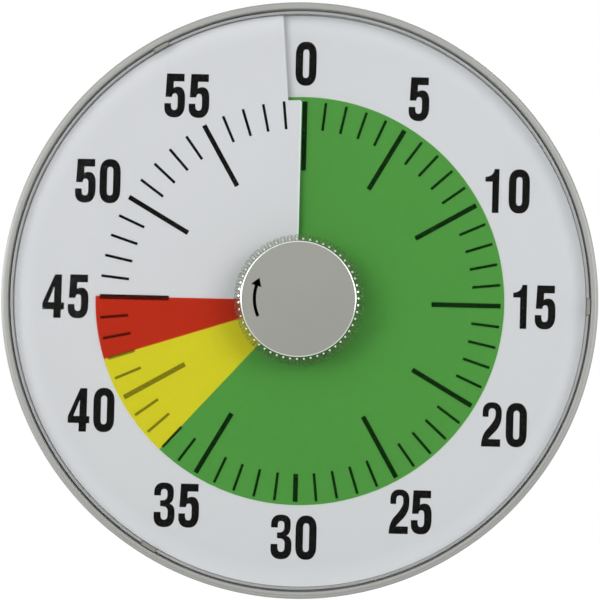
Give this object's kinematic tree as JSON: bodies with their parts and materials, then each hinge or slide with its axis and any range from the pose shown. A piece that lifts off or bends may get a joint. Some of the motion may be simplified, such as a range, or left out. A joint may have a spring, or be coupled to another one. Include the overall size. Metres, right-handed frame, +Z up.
{
  "type": "visual countdown timer",
  "caption": "Round magnet-backed wall timer: a centre knob winds a coloured film out of a slit in the dial to show the time left in an hour.",
  "frame": {"origin": "where the dial's axis meets the flat magnetic back", "axes": "+Z up, face towards -Y, so +Y runs along the dial axis out of the back"},
  "size_m": [0.19, 0.044, 0.19],
  "materials": {
    "silver_housing": "satin silver-grey",
    "silver_cover": "fine moulded texture",
    "clear_lens": "clear polished plastic",
    "white_dial": "printed sheet, slight sheen",
    "white_support": "moulded",
    "grey_chassis": "moulded",
    "green_film": "tinted translucent film",
    "steel": "bright steel",
    "clear_skirt": "clear polished plastic",
    "knob_cap_metal": "satin face with a polished edge",
    "brass": "cut brass",
    "magnet_black": "sintered magnet",
    "black_plastic": "moulded",
    "copper_wire": "enamelled copper wire",
    "green_board": "solder mask",
    "blue_sleeve": "shrink sleeve",
    "cell_label": "plain printed sleeve",
    "lead_red": "insulated wire",
    "magnet_nickel": "nickel plated"
  },
  "bodies": {
    "case_body": {"front_housing": "silver_housing", "rear_cover": "silver_cover", "lens": "clear_lens", "dial_sheet": "white_dial", "dial_support": "white_support", "chassis_plate": "grey_chassis", "front_bush": "white_support", "bush_nut": "steel", "stator": "steel", "coil_bobbin": "black_plastic", "coil_winding": "copper_wire", "movement_case": "grey_chassis", "movement_lid": "grey_chassis", "movement_screws": "steel", "circuit_board": "green_board", "timer_chip": "black_plastic", "crystal": "steel", "capacitor": "blue_sleeve", "sounder": "black_plastic", "switch_body": "steel", "battery_cell": "cell_label", "contact_spring": "steel", "contact_plate": "steel", "battery_leads": "lead_red", "cover_screws": "steel", "magnet_upper_left": "magnet_nickel", "magnet_upper_right": "magnet_nickel", "magnet_lower_left": "magnet_nickel", "magnet_lower_right": "magnet_nickel"},
    "spindle_body": {"spindle": "steel", "knob_skirt": "clear_skirt", "knob_cap": "knob_cap_metal", "spindle_clip": "steel", "clutch_spring": "steel", "centre_wheel": "brass"},
    "film_body": {"colour_film": "green_film", "film_hub": "white_support"},
    "third_body": {"third_wheel": "brass"},
    "rotor_body": {"rotor": "white_support", "rotor_magnet": "magnet_black"},
    "door_body": {"battery_door": "silver_cover"},
    "switch_body_slider": {"sound_switch": "black_plastic"}
  },
  "joints": [
    {"name": "dial_turn", "type": "hinge", "parent": "case_body", "child": "spindle_body", "pos_m": [0, 0, 0], "axis": [0, 1, 0], "range_deg": [-270, 90]},
    {"name": "film_wind", "type": "slide", "parent": "spindle_body", "child": "film_body", "axis": [0, -1, 0], "range_m": [-0.0028, 0.001]},
    {"name": "third_turn", "type": "hinge", "parent": "case_body", "child": "third_body", "pos_m": [0.01273, 0, 0.01273], "axis": [0, 1, 0], "range_deg": [-721, 2161]},
    {"name": "rotor_turn", "type": "hinge", "parent": "case_body", "child": "rotor_body", "pos_m": [0.00311, 0, 0.02234], "axis": [0, 1, 0], "range_deg": [-16210, 5410]},
    {"name": "door_swing", "type": "hinge", "parent": "case_body", "child": "door_body", "pos_m": [0, -0.001, -0.04565], "axis": [1, 0, 0], "range_deg": [0, 95]},
    {"name": "sound_slide", "type": "slide", "parent": "case_body", "child": "switch_body_slider", "axis": [-1, 0, 0], "range_m": [0, 0.003]}
  ],
  "couplings": [
    {"joint": "film_wind", "follows": "dial_turn", "m_per_rad": 0.00057296},
    {"joint": "third_turn", "follows": "dial_turn", "ratio": -8},
    {"joint": "rotor_turn", "follows": "dial_turn", "ratio": 60}
  ]
}
